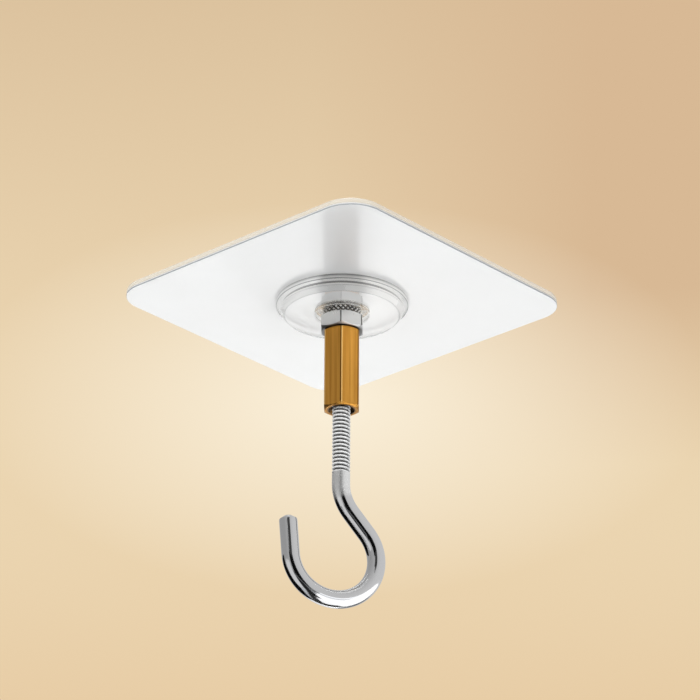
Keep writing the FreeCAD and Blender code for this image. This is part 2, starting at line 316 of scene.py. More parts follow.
stud_head = np.array([
    (stud_pole_ring, stud_top), (stud_head_radius - stud_head_chamfer, stud_top),
    (stud_head_radius, stud_top - stud_head_chamfer),
    (stud_head_radius, stud_head_under + stud_head_chamfer),
    (stud_head_radius - stud_head_chamfer, stud_head_under), (knurl_radius, stud_head_under)])
barrel_height = np.linspace(stud_head_under - barrel_neck, barrel_end + barrel_chamfer_down, barrel_rows)
barrel = np.stack([np.full_like(barrel_height, knurl_radius), barrel_height], axis=-1)
stud_tail = np.array([
    (knurl_radius - barrel_chamfer_across, barrel_end), (shank_radius, barrel_end),
    (shank_radius, shank_end), (spigot_radius, shank_end), (spigot_radius, spigot_end + spigot_chamfer),
    (spigot_radius - spigot_chamfer, spigot_end)])
stud_profile = np.concatenate([stud_head, barrel, stud_tail])
stud_angle = np.linspace(0, 2 * np.pi, knurl_teeth * columns_in_tooth, endpoint=False)
stud_radius = np.repeat(stud_profile[:, :1], len(stud_angle), axis=1)
stud_height = np.repeat(stud_profile[:, 1:], len(stud_angle), axis=1)
barrel_cut = slice(len(stud_head), len(stud_head) + len(barrel))
stud_radius[barrel_cut] = knurled(stud_radius[barrel_cut], stud_height[barrel_cut], stud_angle)
stud_points = np.stack([stud_radius * np.cos(stud_angle), stud_radius * np.sin(stud_angle), stud_height],
                       axis=-1)
# Painted shade in the knurl's grooves, darker the deeper they are.
knurl_shade = np.zeros_like(stud_radius)
knurl_shade[barrel_cut] = (knurl_radius - stud_radius[barrel_cut]) / knurl_depth
captive_stud = surface("captive_stud_turned", stud_points, poles=((0, 0, stud_top), (0, 0, spigot_end)),
                       marks={"knurl_shade": knurl_shade})

# Turned steel under bright nickel: rings from the tool, drawn 0.94 mm apart, which is coarser than real,
# small dull pits, and painted shade in the grooves of the knurl. The wave turns 20 radians in a unit.
plated_stud, tree, output = finish_named("bright nickel on turned steel")
place = add(tree, "ShaderNodeTexCoord").outputs["Object"]
rings = add(tree, "ShaderNodeTexWave", {"Vector": place, "Scale": 2 * np.pi / (wave_radians * stud_ring),
                                       "Distortion": 0.4}, wave_type="BANDS", bands_direction="Z")
pits = add(tree, "ShaderNodeTexNoise", {"Vector": place, "Scale": 1 / stud_pit, "Detail": 3.0})
dull = add(tree, "ShaderNodeMapRange", {"Value": pits.outputs["Fac"], "To Min": 0.16, "To Max": 0.34})
bump = add(tree, "ShaderNodeBump", {"Height": rings.outputs["Fac"], "Strength": 0.2, "Distance": 0.02 * mm})
# The knurl mark mixes in painted shade.
deep = add(tree, "ShaderNodeAttribute", attribute_name="knurl_shade").outputs["Fac"]
shade = add(tree, "ShaderNodeMix", {"Factor": deep, "A": linear(stud_nickel), "B": linear(knurl_groove_shade)},
            data_type="RGBA")
skin = add(tree, "ShaderNodeBsdfPrincipled", {"Base Color": shade.outputs["Result"], "Metallic": 1.0,
                                             "Roughness": dull.outputs["Result"],
                                             "Normal": bump.outputs[0]})
tree.links.new(skin.outputs[0], output.inputs["Surface"])
captive_stud.data.materials.append(plated_stud)

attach(captive_stud, "base")
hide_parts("captive_stud")


# The clear base is moulded in polycarbonate round the stud's head and barrel: a wide flange on the
# plate, a narrow groove, and a thick disc with a bevelled rim and a polished flat face. It overlaps
# the plate and the stud by a hair, so that no film of air shows between them.

base_overlap = 0.02 * mm
base_top = plate_under + base_overlap
flange_radius = 15.5 * mm
flange_thickness = 1.2 * mm
flange_under = plate_under - flange_thickness
groove_radius = 14.0 * mm
groove_width = 0.5 * mm
groove_under = flange_under - groove_width
disc_radius = 14.4 * mm
disc_edge_height = 0.7 * mm
disc_edge_under = groove_under - disc_edge_height
face_radius = 13.5 * mm
bevel_height = 1.1 * mm
face_height = disc_edge_under - bevel_height
well_radius = 6.3 * mm
well_depth = 0.9 * mm
well_height = face_height + well_depth
bore_grip = 0.1 * mm
bore_radius = knurl_radius - knurl_depth - bore_grip
seat_radius = stud_head_radius - base_overlap
seat_under = stud_head_under + base_overlap
base_edge_round = 0.26 * mm
base_edge_rows = 5
base_columns = 192
round_at_most = 0.4
lead_share = 0.15
rim_line = 0.9
bevel_shade = 0.12
rim_line_near = 1.0
rim_line_far = 0.3
base_flow = 5.0 * mm
base_scuff = 0.6 * mm
base_clear = "#FCFDFD"
rim_painted_shade = "#0C0D0E"
light_through_walls = "#B8B8B8"
light_through_faces = "#FFFFFF"


def softened(corners, rounding, steps):
    """A closed profile with each corner cut back by the rounding, or by round_at_most of its
    shorter side, and rounded: a quadratic curve from a point on one side to a point on the next,
    pulled towards the corner itself. A point on the straight just before and after each curve, by
    lead_share of the cut, keeps the flats flat in the shading."""
    corners = np.asarray(corners)
    to_last = np.roll(corners, 1, axis=0) - corners
    to_next = np.roll(corners, -1, axis=0) - corners
    last_length = np.linalg.norm(to_last, axis=1)
    next_length = np.linalg.norm(to_next, axis=1)
    reach = np.minimum(rounding, round_at_most * np.minimum(last_length, next_length))
    start = corners + to_last / last_length[:, None] * reach[:, None]
    end = corners + to_next / next_length[:, None] * reach[:, None]
    share = np.linspace(0, 1, steps)[None, :, None]
    curve = ((1 - share) ** 2 * start[:, None] + 2 * share * (1 - share) * corners[:, None]
             + share ** 2 * end[:, None])
    early = start + lead_share * (start - corners)
    late = end + lead_share * (end - corners)
    return np.concatenate([early[:, None], curve, late[:, None]], axis=1).reshape(-1, 2)


def turned(profile, columns):
    """A profile of radius and height carried round the axis in even steps: at each angle the radius
    times its cosine and its sine, at the same height."""
    angle = np.linspace(0, 2 * np.pi, columns, endpoint=False)
    radius, height = profile[:, :1], np.repeat(profile[:, 1:], columns, axis=1)
    return np.stack([radius * np.cos(angle), radius * np.sin(angle), height], axis=-1)


# Each corner of the profile comes with the weight of a painted dark line in the middle of its curve, painted
# shade for where the clear edge bends away the light behind it.
base_corners = [
    (seat_radius, base_top, 0.0), (flange_radius, base_top, 0.0), (flange_radius, flange_under, 1.0),
    (groove_radius, flange_under, 0.0), (groove_radius, groove_under, rim_line),
    (disc_radius, groove_under, 0.0), (disc_radius, disc_edge_under, 0.4), (face_radius, face_height, 0.5),
    (well_radius, face_height, 0.3), (well_radius, well_height, 0.3), (bore_radius, well_height, 0.0),
    (bore_radius, seat_under, 0.0), (seat_radius, seat_under, 0.0)]
base_profile = softened([corner[:2] for corner in base_corners], base_edge_round, base_edge_rows)
across_edge = np.linspace(0, 1, base_edge_rows)
line_shape = np.pad(4 * across_edge * (1 - across_edge), 1)
rim = np.array([corner[2] for corner in base_corners])[:, None] * line_shape

# Broad lines of painted shade fill the flange's side, the groove's wall and the disc's upper edge, and faint
# painted shade the bevel. The first index is the corner, the second the row of its curve.
rim[1, 2:] = rim_line
rim[3, 2:] = rim_line
rim[4, :4] = rim_line
rim[5, 2:5] = rim_line
rim[6, 4:] = bevel_shade
rim[7, :3] = bevel_shade

# All the painted lines are strongest on the side towards the camera, which is the upper one in the picture.
base_heading = np.linspace(0, 2 * np.pi, base_columns, endpoint=False)
nearness = (1 - np.cos(base_heading - view_heading)) / 2
rim = rim[:, :, None] * (rim_line_far + (rim_line_near - rim_line_far) * nearness)
clear_base = surface("clear_base_moulding", turned(base_profile, base_columns), loop=True, crease=50.0,
                     marks={"rim": rim.reshape(-1, base_columns)})

# Polycarbonate from a polished mould: water clear, with a very slight flow ripple and fine scuffs.
# Lamps shine straight through its flat faces, and its upright walls keep part of their light.
clear_plastic, tree, output = finish_named("moulded clear polycarbonate")
place = add(tree, "ShaderNodeTexCoord").outputs["Object"]
flow = add(tree, "ShaderNodeTexNoise", {"Vector": place, "Scale": 1 / base_flow, "Detail": 2.0})
scuff = add(tree, "ShaderNodeTexNoise", {"Vector": place, "Scale": 1 / base_scuff, "Detail": 4.0})
gloss = add(tree, "ShaderNodeMapRange", {"Value": scuff.outputs["Fac"], "From Min": 0.45, "From Max": 0.75,
                                        "To Min": 0.01, "To Max": 0.08})
bump = add(tree, "ShaderNodeBump", {"Height": flow.outputs["Fac"], "Strength": 0.15, "Distance": 0.05 * mm})
# The rim mark mixes in near-black painted shade lines.
rim_shade_share = add(tree, "ShaderNodeAttribute", attribute_name="rim").outputs["Fac"]
shade = add(tree, "ShaderNodeMix", {"Factor": rim_shade_share, "A": linear(base_clear), "B": linear(rim_painted_shade)},
            data_type="RGBA")
skin = add(tree, "ShaderNodeBsdfPrincipled", {"Base Color": shade.outputs["Result"], "IOR": 1.58,
                                             "Roughness": gloss.outputs["Result"],
                                             "Transmission Weight": 1.0, "Normal": bump.outputs[0]})
rays = add(tree, "ShaderNodeLightPath").outputs
outward = add(tree, "ShaderNodeNewGeometry").outputs["Normal"]
upward = add(tree, "ShaderNodeSeparateXYZ", {"Vector": outward}).outputs["Z"]
flatness = add(tree, "ShaderNodeMath", {0: upward}, operation="ABSOLUTE")
passed = add(tree, "ShaderNodeMix", {"Factor": flatness.outputs[0], "A": linear(light_through_walls),
                                    "B": linear(light_through_faces)}, data_type="RGBA")
let_through = add(tree, "ShaderNodeBsdfTransparent", {"Color": passed.outputs["Result"]})
lighting = add(tree, "ShaderNodeMath", {0: rays["Is Shadow Ray"], 1: rays["Is Diffuse Ray"]},
               operation="MAXIMUM")
clear = add(tree, "ShaderNodeMixShader", {"Fac": lighting.outputs[0], 1: skin.outputs[0],
                                         2: let_through.outputs[0]})
tree.links.new(clear.outputs[0], output.inputs["Surface"])
clear_base.data.materials.append(clear_plastic)

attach(clear_base, "base")
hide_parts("clear_base")


# The lock nut is a thin steel hexagon nut, nickel plated, run up the stud against its knurled
# barrel. Both ends are chamfered, so each flat ends in a low arch.

hexagon_heading = math.radians(41.0)
chamfer_slope = math.tan(math.radians(30.0))
flat_half_turn = 26
flat_columns = 14
corner_half_turn = 3
corner_columns = 13
corner_mark_from = 0.2
corner_mark_to = 3.6
nut_apothem = 4.8 * mm
nut_top = barrel_end
nut_under = shank_end
nut_face_radius = 4.6 * mm
nut_bore_radius = shank_radius
nut_countersink = 0.4 * mm
nut_corner_round = 0.15 * mm
nut_end_rim = 0.75
nut_scuff = 0.4 * mm
nut_cloud = 3.0 * mm
nut_nickel = "#D6D6D5"
nut_end_shade = "#3C3A38"
nut_corner_shade = "#6E6D6B"


def hexagon_radius(angle, apothem, rounding):
    """Distance from the axis to a hexagon with rounded corners: the apothem over the cosine of the
    angle from the nearest flat's middle, or the far crossing with the corner's circle."""
    off = np.abs((angle + np.pi / 6) % (np.pi / 3) - np.pi / 6)
    flat = apothem / np.cos(off)
    centre = (apothem - rounding) / math.cos(math.pi / 6)
    from_corner = math.pi / 6 - off
    inside = rounding ** 2 - (centre * np.sin(from_corner)) ** 2
    corner = centre * np.cos(from_corner) + np.sqrt(np.maximum(inside, 0))
    return np.where(np.tan(off) * apothem > (apothem - rounding) * math.tan(math.pi / 6), corner, flat)


def hexagon_nut(name, apothem, top, under, face_radius, bore_radius, countersink, rounding, end_rim):
    """A hexagon round the axis, bored through. At each angle the profile runs down the bore, over
    the countersink and the end face, and up the chamfer to where its cone meets the hexagon. Its
    marks are painted shade over the bore with the cut ends, end_rim of it at the end's outer edge,
    and two narrow strips along each corner: painted shade on one side and a painted highlight on the other."""
    one_side = np.concatenate([np.linspace(-flat_half_turn, flat_half_turn, flat_columns),
                               np.linspace(30 - corner_half_turn, 30 + corner_half_turn, corner_columns)])
    turn = np.radians(np.sort((60 * np.arange(6)[:, None] + one_side).ravel()))
    across = hexagon_radius(turn, apothem, rounding)
    rise = (across - face_radius) * chamfer_slope
    even = np.ones_like(turn)
    radius = np.stack([bore_radius * even, (bore_radius + countersink) * even, face_radius * even, across,
                       across, face_radius * even, (bore_radius + countersink) * even, bore_radius * even])
    height = np.stack([(top - countersink) * even, top * even, top * even, top - rise,
                       under + rise, under * even, under * even, (under + countersink) * even])
    spin = turn + hexagon_heading + math.pi / 6
    points = np.stack([radius * np.cos(spin), radius * np.sin(spin), height], axis=-1)
    # The end mark is painted shade over the bore and countersink, end_rim of it at the end's outer edge.
    end = np.array([1, 1, end_rim, 0, 0, end_rim, 1, 1])[:, None] * even
    on_flats = np.array([0, 0, 0, 1, 1, 0, 0, 0])[:, None]
    # Painted shade just before each corner and a painted highlight just past it.
    past_corner = np.degrees(turn) % 60 - 30
    line = on_flats * ((past_corner > -corner_mark_to) & (past_corner < -corner_mark_from))
    highlight_strip = on_flats * ((past_corner > corner_mark_from) & (past_corner < corner_mark_to))
    return surface(name, points, loop=True, crease=20.0,
                   marks={"end": end, "corner_shade": line, "corner_highlight": highlight_strip})


lock_nut = hexagon_nut("lock_nut_hexagon", nut_apothem, nut_top, nut_under, nut_face_radius,
                       nut_bore_radius, nut_countersink, nut_corner_round, nut_end_rim)

# Satin nickel on a tumbled steel nut: soft even shine with fine random scuffs, painted shade on the bore and
# cut ends, and a grey line of painted shade beside each corner.
plated_nut, tree, output = finish_named("satin nickel on steel")
place = add(tree, "ShaderNodeTexCoord").outputs["Object"]
scuff = add(tree, "ShaderNodeTexNoise", {"Vector": place, "Scale": 1 / nut_scuff, "Detail": 5.0})
cloud = add(tree, "ShaderNodeTexNoise", {"Vector": place, "Scale": 1 / nut_cloud, "Detail": 2.0})
satin = add(tree, "ShaderNodeMapRange", {"Value": cloud.outputs["Fac"], "To Min": 0.22, "To Max": 0.40})
bump = add(tree, "ShaderNodeBump", {"Height": scuff.outputs["Fac"], "Strength": 0.15, "Distance": 0.03 * mm})
# Painted shade on the bore and cut ends, and beside each corner.
cut_end = add(tree, "ShaderNodeAttribute", attribute_name="end").outputs["Fac"]
shade = add(tree, "ShaderNodeMix", {"Factor": cut_end, "A": linear(nut_nickel), "B": linear(nut_end_shade)},
            data_type="RGBA")
at_corner = add(tree, "ShaderNodeAttribute", attribute_name="corner_shade").outputs["Fac"]
shade = add(tree, "ShaderNodeMix", {"Factor": at_corner, "A": shade.outputs["Result"],
                                   "B": linear(nut_corner_shade)}, data_type="RGBA")
skin = add(tree, "ShaderNodeBsdfPrincipled", {"Base Color": shade.outputs["Result"], "Metallic": 1.0,
                                             "Roughness": satin.outputs["Result"],
                                             "Normal": bump.outputs[0]})
tree.links.new(skin.outputs[0], output.inputs["Surface"])
lock_nut.data.materials.append(plated_nut)

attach(lock_nut, "base")
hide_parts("lock_nut")


# The coupling nut is a length of free-machining brass hexagon bar, cut, chamfered and tapped
# right through. The stud's spigot fills its top and the hook's thread screws into its mouth.

coupling_apothem = 4.0 * mm
coupling_length = 20.0 * mm
coupling_top = nut_under
coupling_under = coupling_top - coupling_length
coupling_face_radius = 3.75 * mm
coupling_bore_radius = 2.12 * mm
coupling_countersink = 0.9 * mm
coupling_corner_round = 0.2 * mm
coupling_end_rim = 0.0
brass_line = 0.2 * mm
brass_streak = 0.9 * mm
brass_haze = 4.0 * mm
drawn_out = (1.0, 1.0, 0.03)
brass_bright = "#DDA148"
brass_dull = "#C08436"
brass_end_shade = "#5E4420"
brass_corner_shade = "#7A5220"
brass_corner_highlight = "#F6C77A"

coupling_nut = hexagon_nut("coupling_nut_hexagon", coupling_apothem, coupling_top, coupling_under,
                           coupling_face_radius, coupling_bore_radius, coupling_countersink,
                           coupling_corner_round, coupling_end_rim)

# Drawn brass bar: warm and satin, with fine lines and broader streaks along its length from the die, and a
# light haze of tarnish. Each corner has a line of painted shade on one side and a painted highlight on the
# other, and the bore and cut ends have painted shade. The lines are 0.2 mm apart, coarser than real.
brass, tree, output = finish_named("drawn brass hexagon bar")
place = add(tree, "ShaderNodeTexCoord").outputs["Object"]
lengthwise = add(tree, "ShaderNodeMapping", {"Vector": place, "Scale": drawn_out}).outputs[0]
lines = add(tree, "ShaderNodeTexNoise", {"Vector": lengthwise, "Scale": 1 / brass_line, "Detail": 3.0})
haze = add(tree, "ShaderNodeTexNoise", {"Vector": place, "Scale": 1 / brass_haze, "Detail": 4.0})
streaks = add(tree, "ShaderNodeTexNoise", {"Vector": lengthwise, "Scale": 1 / brass_streak, "Detail": 2.0})
streak = add(tree, "ShaderNodeMapRange", {"Value": streaks.outputs["Fac"], "From Min": 0.30,
                                         "From Max": 0.70})
shade = add(tree, "ShaderNodeMix", {"Factor": streak.outputs["Result"], "A": linear(brass_bright),
                                   "B": linear(brass_dull)}, data_type="RGBA")
# Painted shade and painted highlight along the corners, and painted shade over the bore and ends.
for mark, colour in (("corner_shade", brass_corner_shade), ("corner_highlight", brass_corner_highlight),
                     ("end", brass_end_shade)):
    marked = add(tree, "ShaderNodeAttribute", attribute_name=mark).outputs["Fac"]
    shade = add(tree, "ShaderNodeMix", {"Factor": marked, "A": shade.outputs["Result"], "B": linear(colour)},
                data_type="RGBA")
satin = add(tree, "ShaderNodeMapRange", {"Value": haze.outputs["Fac"], "To Min": 0.24, "To Max": 0.42})
bump = add(tree, "ShaderNodeBump", {"Height": lines.outputs["Fac"], "Strength": 0.2, "Distance": 0.02 * mm})
skin = add(tree, "ShaderNodeBsdfPrincipled", {"Base Color": shade.outputs["Result"], "Metallic": 1.0,
                                             "Roughness": satin.outputs["Result"],
                                             "Normal": bump.outputs[0]})
tree.links.new(skin.outputs[0], output.inputs["Surface"])
coupling_nut.data.materials.append(brass)

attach(coupling_nut, "base")
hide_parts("coupling_nut")


# The screw hook is one length of bright plated steel rod. Its top has a rolled thread, below it
# the rod bends aside in a short neck, and then comes round in an open bowl to a tip cut to a low
# peak.

hook_heading = math.radians(-27.0)
rod_radius = 2.094 * mm
rod_columns = 176
thread_root_radius = 1.58 * mm
thread_pitch = 0.93 * mm
thread_engaged = 9.0 * mm
thread_shown = 16.2 * mm
thread_length = thread_engaged + thread_shown
thread_start = coupling_under + thread_engaged
tooth_level = 0.63
tooth_swing = 0.95
rows_in_pitch = 10
plain_rows_apart = 3
least_step = 1e-4 * mm
neck_length = 2.3 * mm
neck_bend_radius = 10.6 * mm
neck_bend = math.radians(39.6)
slant_length = 6.1 * mm
bowl_radius = 10.4 * mm
bowl_turn = math.radians(214.8)
tip_length = 9.1 * mm
tip_peak = 0.8 * mm
tip_end_share = 0.45
polish_start = 5.2 * mm
polish_reach = 1.2 * mm
rod_scuff = 1.2 * mm
rod_peel = 2.5 * mm
rod_bright = "#D2D2D3"
rod_satin = "#E6E6E5"
root_shade_colour = "#2A2826"


def hook_line(step):
    """The rod's centre line: the distance along it, the place across and in height, and the lean
    from straight down, which changes evenly along each stretch. A step adds a chord at its mean
    lean, as long as the step times the sine of half its bend over half its bend."""
    lengths = [thread_length, neck_length, neck_bend_radius * neck_bend, slant_length,
               bowl_radius * bowl_turn, tip_length]
    bends = [0, 0, neck_bend, 0, -bowl_turn, 0]
    knots = np.concatenate([[0], np.cumsum(lengths)])
    swing = np.concatenate([[0], np.cumsum(bends)])
    along = np.unique(np.concatenate([np.arange(0, knots[-1], step), knots]))
    along = along[np.concatenate([[True], np.diff(along) > least_step])]
    lean = np.interp(along, knots, swing)
    middle = (lean[1:] + lean[:-1]) / 2
    half = np.diff(lean) / 2
    chord = np.diff(along) * np.sinc(half / np.pi)
    across = np.concatenate([[0], np.cumsum(chord * np.sin(middle))])
    height = thread_start - np.concatenate([[0], np.cumsum(chord * np.cos(middle))])
    return along, across, height, lean


def thread_radius(along, angle):
    """Radius of the rolled thread and its cut, from 0 at a crest to 1 at a root. The tooth is a
    level plus a cosine, kept between 0 and 1, that climbs one pitch a turn. The cut fades out over
    the thread's last pitch."""
    phase = (along / thread_pitch - angle / (2 * np.pi)) % 1
    tooth = np.clip(tooth_level + tooth_swing * np.cos(2 * np.pi * phase), 0, 1)
    fade = np.clip((thread_length - along) / thread_pitch, 0, 1)
    cut = (1 - tooth) * fade
    return rod_radius - (rod_radius - thread_root_radius) * cut, cut


# The rows are close on the thread and every third one is kept past it.
along, across, height, lean = hook_line(thread_pitch / rows_in_pitch)
threaded = along <= thread_length + thread_pitch
kept = threaded | (np.arange(len(along)) % plain_rows_apart == 0)
kept[-1] = True
along, across, height, lean = along[kept], across[kept], height[kept], lean[kept]
rod_angle = np.linspace(0, 2 * np.pi, rod_columns, endpoint=False)
wall, cut_depth = thread_radius(along[:, None], rod_angle[None])

# The low peak narrows the rod evenly to its end share. The polish comes in past the thread, and the
# rolled mark ends with the thread.
from_tip = np.clip((along[-1] - along) / tip_peak, 0, 1)
wall = wall * (tip_end_share + (1 - tip_end_share) * from_tip)[:, None]
past_thread = along - thread_length
polished = np.clip((past_thread - polish_start) / polish_reach, 0, 1)
rolled = np.clip(-past_thread / thread_pitch, 0, 1)

# Across the rod, one way lies in the plane of the bowl and the other stands square to it.
centre = np.stack([across * math.cos(hook_heading), across * math.sin(hook_heading), height], axis=-1)
in_plane = np.stack([np.cos(lean) * math.cos(hook_heading), np.cos(lean) * math.sin(hook_heading),
                     np.sin(lean)], axis=-1)
square = np.array([-math.sin(hook_heading), math.cos(hook_heading), 0.0])
rod = centre[:, None] + wall[..., None] * (np.cos(rod_angle)[None, :, None] * in_plane[:, None]
                                           + np.sin(rod_angle)[None, :, None] * square[None, None])
hook_marks = {"root_shade": cut_depth, "polished": np.repeat(polished[:, None], rod_columns, axis=1),
              "rolled": np.repeat(rolled[:, None], rod_columns, axis=1)}
screw_hook = surface("screw_hook_rod", rod, poles=(centre[0], centre[-1]), crease=40.0, marks=hook_marks)

# Bright plating on drawn steel rod: a mirror with light scuffs, and satin in the neck next to the thread.
# The rolled thread is a dull grey, only a quarter metallic, with painted shade in its roots.
plated_rod, tree, output = finish_named("bright plated steel rod")
place = add(tree, "ShaderNodeTexCoord").outputs["Object"]
scuff = add(tree, "ShaderNodeTexNoise", {"Vector": place, "Scale": 1 / rod_scuff, "Detail": 5.0})
peel = add(tree, "ShaderNodeTexNoise", {"Vector": place, "Scale": 1 / rod_peel, "Detail": 2.0})
gloss = add(tree, "ShaderNodeMapRange", {"Value": scuff.outputs["Fac"], "From Min": 0.35, "From Max": 0.7,
                                        "To Min": 0.06, "To Max": 0.16})
drawn = add(tree, "ShaderNodeMapRange", {"Value": scuff.outputs["Fac"], "From Min": 0.3, "From Max": 0.7,
                                        "To Min": 0.36, "To Max": 0.48})
buffed = add(tree, "ShaderNodeAttribute", attribute_name="polished").outputs["Fac"]
shine = add(tree, "ShaderNodeMix", {"Factor": buffed, "A": drawn.outputs["Result"],
                                   "B": gloss.outputs["Result"]})
# Painted shade darkens the thread towards its roots.
deep = add(tree, "ShaderNodeAttribute", attribute_name="root_shade").outputs["Fac"]
plating = add(tree, "ShaderNodeMix", {"Factor": buffed, "A": linear(rod_satin), "B": linear(rod_bright)},
              data_type="RGBA")
shade = add(tree, "ShaderNodeMix", {"Factor": deep, "A": plating.outputs["Result"], "B": linear(root_shade_colour)},
            data_type="RGBA")
bump = add(tree, "ShaderNodeBump", {"Height": peel.outputs["Fac"], "Strength": 0.02, "Distance": 0.05 * mm})
on_thread = add(tree, "ShaderNodeAttribute", attribute_name="rolled").outputs["Fac"]
metal = add(tree, "ShaderNodeMapRange", {"Value": on_thread, "To Min": 1.0, "To Max": 0.25})
skin = add(tree, "ShaderNodeBsdfPrincipled", {"Base Color": shade.outputs["Result"],
                                             "Metallic": metal.outputs["Result"],
                                             "Roughness": shine.outputs[0], "Normal": bump.outputs[0]})
tree.links.new(skin.outputs[0], output.inputs["Surface"])
screw_hook.data.materials.append(plated_rod)

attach(screw_hook, "hook")
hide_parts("screw_hook")


# The floor is a plain pale matt board well below the camera. It isn't part of the hook. The camera
# and the clear base see it mostly in the warm colour of the backdrop, and that gives no light.

floor_height = -0.9
floor_half_side = 4.0
square_corners = ((-1, -1), (1, -1), (1, 1), (-1, 1))
floor_mottles_in_metre = 30.0
floor_pale = "#ECEFF2"
floor_mottle = "#E6E9EC"
floor_seen = "#FDD9A8"
floor_seen_share = 0.75

floor_mesh = bpy.data.meshes.new("floor")
floor_mesh.from_pydata([(x * floor_half_side, y * floor_half_side, floor_height) for x, y in square_corners],
                       [], [(0, 1, 2, 3)])
floor = bpy.data.objects.new("floor", floor_mesh)
bpy.context.scene.collection.objects.link(floor)
pale_board, tree, output = finish_named("pale matt board")
place = add(tree, "ShaderNodeTexCoord").outputs["Object"]
mottle = add(tree, "ShaderNodeTexNoise", {"Vector": place, "Scale": floor_mottles_in_metre, "Detail": 4.0})
shade = add(tree, "ShaderNodeMix", {"Factor": mottle.outputs["Fac"], "A": linear(floor_pale),
                                   "B": linear(floor_mottle)}, data_type="RGBA")
skin = add(tree, "ShaderNodeBsdfPrincipled", {"Base Color": shade.outputs["Result"], "Roughness": 0.9})
warm = add(tree, "ShaderNodeEmission", {"Color": linear(floor_seen), "Strength": 1.0})
rays = add(tree, "ShaderNodeLightPath").outputs
seen = add(tree, "ShaderNodeMath", {0: rays["Is Camera Ray"], 1: rays["Is Transmission Ray"]},
           operation="MAXIMUM")
shown = add(tree, "ShaderNodeMath", {0: seen.outputs[0], 1: floor_seen_share}, operation="MULTIPLY")
board = add(tree, "ShaderNodeMixShader", {"Fac": shown.outputs[0], 1: skin.outputs[0], 2: warm.outputs[0]})
tree.links.new(board.outputs[0], output.inputs["Surface"])
pale_board.cycles.emission_sampling = "NONE"
floor_mesh.materials.append(pale_board)


# The lamps are soft boxes. The keys stand low on the far side, so that the nuts throw a soft band
# of shade along the plate towards the camera, and fills open up the other sides. The metal mirrors
# dark flags and white cards that nothing else sees.

hook_middle = Vector((0, 0, -45.0 * mm))
plate_flag_side = -120
plate_flag_height = -11.0 * mm
plate_flag_out = 20.0 * mm


def toward(side, rise):
    """The way to a point seen from the hook: side is degrees round from straight behind it, to the
    right of the picture, and rise is degrees above the level."""
    turn, lift = math.radians(side), math.radians(rise)
    level_ahead = Vector((ahead.x, ahead.y, 0)).normalized()
    flat = math.cos(turn) * level_ahead + math.sin(turn) * level_right
    return math.cos(lift) * flat + math.sin(lift) * Vector((0, 0, 1))


def facing(way, distance, centre):
    """The place and turn of a flat thing that far off from a centre and facing it."""
    return Matrix.Translation(centre + distance * way) @ way.to_track_quat("Z", "Y").to_matrix().to_4x4()


def soft_box(name, side, rise, distance, width, tall, level, colour="#FFFFFF", in_gloss=True, in_glass=True):
    """A rectangular lamp that faces the hook, its power the radiance of its face times pi times its
    area. It can be left out of what shiny pieces mirror, and of what the clear base shows."""
    lamp = bpy.data.lights.new(name, "AREA")
    lamp.shape = "RECTANGLE"
    lamp.size, lamp.size_y = width, tall
    lamp.energy = level * math.pi * width * tall
    lamp.color = linear(colour)[:3]
    box = bpy.data.objects.new(name, lamp)
    box.matrix_world = facing(toward(side, rise), distance, hook_middle)
    box.visible_camera = False
    box.visible_glossy = in_gloss
    box.visible_transmission = in_glass
    bpy.context.scene.collection.objects.link(box)


def card(name, side, rise, distance, width, tall, colour, level=1.0, centre=hook_middle):
    """A plain card that only the shine of the metal sees, as a dark flag or a white reflector."""
    mesh = bpy.data.meshes.new(name)
    mesh.from_pydata([(x * width / 2, y * tall / 2, 0) for x, y in square_corners], [], [(0, 1, 2, 3)])
    board = bpy.data.objects.new(name, mesh)
    board.matrix_world = facing(toward(side, rise), distance, centre)
    bpy.context.scene.collection.objects.link(board)
    made, tree, output = finish_named(name)
    glow = add(tree, "ShaderNodeEmission", {"Color": linear(colour), "Strength": level})
    tree.links.new(glow.outputs[0], output.inputs["Surface"])
    mesh.materials.append(made)
    board.visible_camera = False
    board.visible_diffuse = False
    board.visible_transmission = False
    board.visible_shadow = False


# Each call gives the side and the rise in degrees, the distance, width and height in metres, and
# then a lamp's level, or a card's colour and its level where that isn't 1.
soft_box("broad key", 0, -29, 1.5, 0.42, 0.25, 30.0, in_gloss=False, in_glass=False)
soft_box("narrow key", 0.5, -29, 1.5, 0.06, 0.20, 196.0, in_gloss=False, in_glass=False)
soft_box("right fill", 115, -38, 0.9, 1.5, 1.3, 0.78, colour="#F8FBFF")
soft_box("left front fill", -140, 8, 1.2, 0.6, 0.4, 16.0, in_gloss=False)
soft_box("right front fill", 140, 14, 1.2, 0.6, 0.36, 8.0, in_gloss=False)
soft_box("top fill", 0, 90, 0.4, 0.14, 0.14, 11.0, in_glass=False)

# The first card is small and hangs beside the nuts, close under the plate. It is a grey sheet that stands in
# their left faces for the plate's shade: a painted reflection of shade.
card("shade flag under the plate", plate_flag_side, 45, 0.0, 0.030, 0.032, "#B9B9B9",
     centre=Vector((0, 0, plate_flag_height)) + plate_flag_out * toward(plate_flag_side, 0))
card("camera side flag", -177, -1, 0.5, 0.36, 0.30, "#0E0E0E")
card("lower camera flag", -166, -46, 0.5, 0.24, 0.44, "#2A2A2A")
card("upper flag", -180, 21, 0.5, 0.24, 0.16, "#484848")
card("left flag", -60, -22, 0.5, 0.58, 0.66, "#0C0C0C")
card("low left flag", -90, -75, 0.5, 0.90, 0.16, "#3C3C3C")
card("low behind flag", -2, -60, 0.5, 0.34, 0.26, "#404040")
card("left white", -122, -24, 0.7, 0.60, 0.66, "#FFFFFF", 0.85)
card("right white", 88, -38, 0.6, 0.86, 0.86, "#FFFFFF", 1.7)
card("camera side white", 138, -52, 0.7, 0.60, 0.70, "#FFFFFF", 1.6)
card("under white", 110, -84, 0.5, 0.50, 0.20, "#FFFFFF", 1.5)
